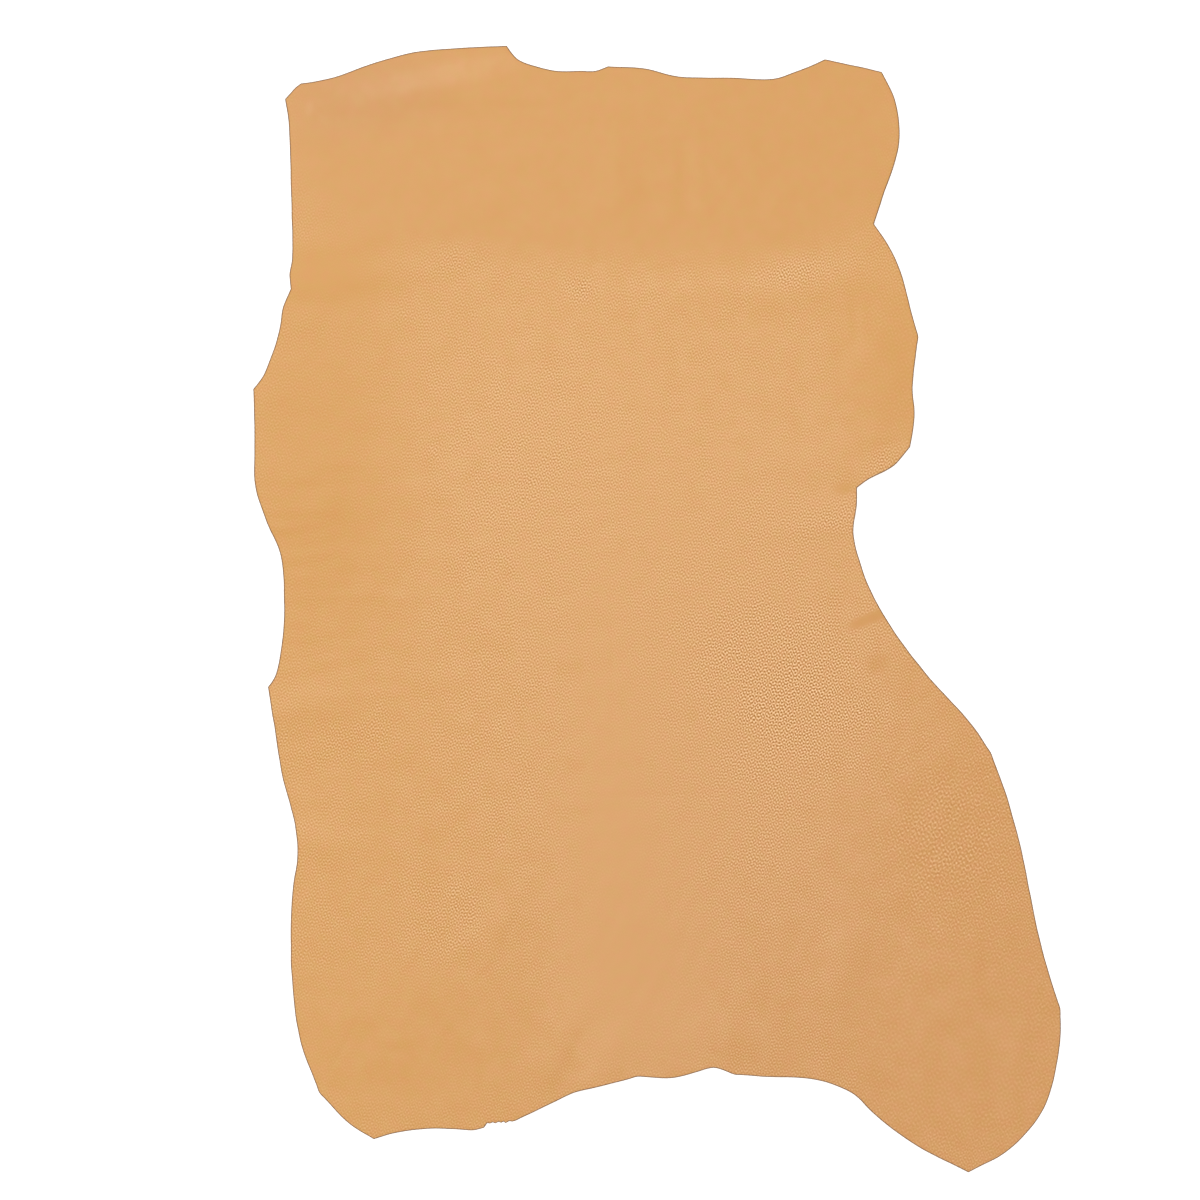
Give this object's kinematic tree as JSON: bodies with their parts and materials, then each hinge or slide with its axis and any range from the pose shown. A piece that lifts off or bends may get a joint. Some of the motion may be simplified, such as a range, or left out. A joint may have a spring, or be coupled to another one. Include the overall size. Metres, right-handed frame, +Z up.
{
  "type": "leather hide",
  "caption": "Small whole hide of tan pebbled leather with its natural outline of neck, shanks and flanks, lying flat grain side up with soft ridges and creases.",
  "frame": {"origin": "on the surface that the hide lies on, below the middle of its length and width", "axes": "+X across the hide to its right side, +Y along the spine towards the neck, +Z up out of the grain side"},
  "size_m": [0.7107, 0.9912, 0.0052],
  "materials": {
    "hide": "soft tan leather, fine pebbled grain with a low sheen, smoother towards the neck and along the spine"
  },
  "bodies": {
    "root": {"hide": "hide"}
  },
  "joints": []
}
